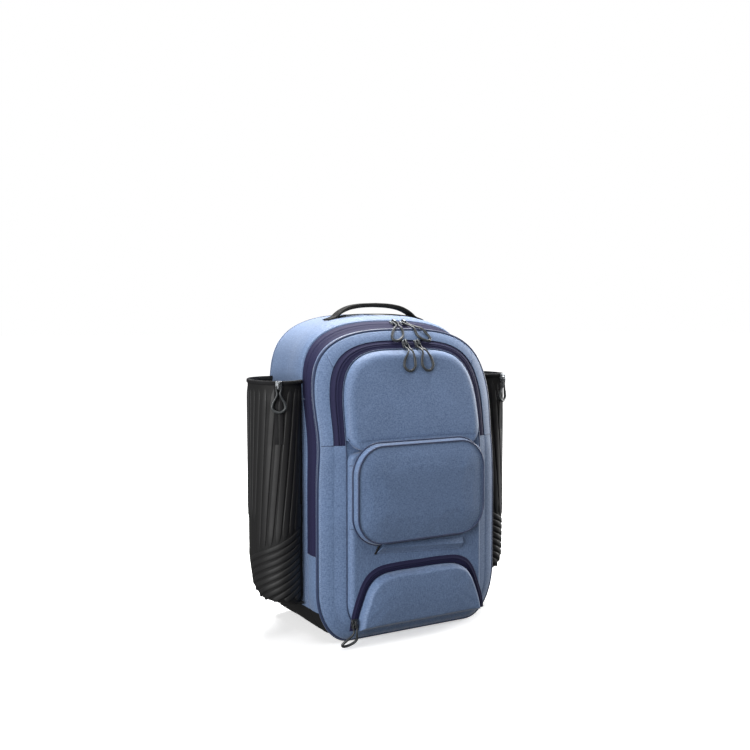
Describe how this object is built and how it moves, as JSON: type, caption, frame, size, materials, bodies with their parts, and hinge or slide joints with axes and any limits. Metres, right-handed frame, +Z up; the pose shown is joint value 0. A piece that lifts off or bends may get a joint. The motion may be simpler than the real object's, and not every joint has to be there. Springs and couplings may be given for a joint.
{
  "type": "baseball bat backpack",
  "caption": "Arched equipment backpack with a clamshell front, zipped front pockets, an open ribbed bat sleeve on each side, a top handle and padded shoulder straps.",
  "frame": {"origin": "on the ground below the middle of the bag's bounding box", "axes": "+Z up, -Y out of the bag's front, +X to the viewer's right as the front is looked at"},
  "size_m": [0.4998, 0.3006, 0.567],
  "materials": {
    "blue_fabric": "heather woven polyester",
    "navy_tape": "coated zip tape",
    "navy_piping": "satin piping",
    "black_fabric": "woven and air mesh",
    "black_webbing": "woven webbing",
    "sleeve_rubber": "moulded ribbed satin",
    "slider_metal": "gunmetal",
    "pull_rubber": "moulded satin",
    "black_plastic": "moulded"
  },
  "bodies": {
    "root": {"rear_shell": "blue_fabric", "base_boot": "black_fabric", "zip_gusset": "blue_fabric", "main_zip_tape": "navy_tape", "main_piping": "navy_piping", "front_shell": "blue_fabric", "front_zip_tape": "navy_tape", "upper_panel": "blue_fabric", "lower_panel": "blue_fabric", "mid_pocket": "blue_fabric", "mid_pocket_rear_piping": "navy_piping", "mid_pocket_front_piping": "navy_piping", "welt_flap": "blue_fabric", "lower_pocket": "blue_fabric", "lower_zip_tape": "navy_tape", "bat_sleeve_left": "sleeve_rubber", "bat_sleeve_right": "sleeve_rubber", "top_handle": "black_webbing", "main_zip_left_slider": "slider_metal", "main_zip_right_slider": "slider_metal", "front_zip_left_slider": "slider_metal", "front_zip_right_slider": "slider_metal", "lower_zip_slider": "slider_metal", "sleeve_zip_left_slider": "slider_metal", "sleeve_zip_right_slider": "slider_metal", "main_zip_left_pull": "pull_rubber", "main_zip_right_pull": "pull_rubber", "front_zip_left_pull": "pull_rubber", "front_zip_right_pull": "pull_rubber", "lower_zip_pull": "pull_rubber", "sleeve_zip_left_pull": "pull_rubber", "sleeve_zip_right_pull": "pull_rubber", "back_panel": "black_fabric", "shoulder_strap_left": "black_fabric", "shoulder_strap_right": "black_fabric", "strap_webbing_left": "black_webbing", "strap_webbing_right": "black_webbing", "ladder_lock_left": "black_plastic", "ladder_lock_right": "black_plastic"}
  },
  "joints": []
}
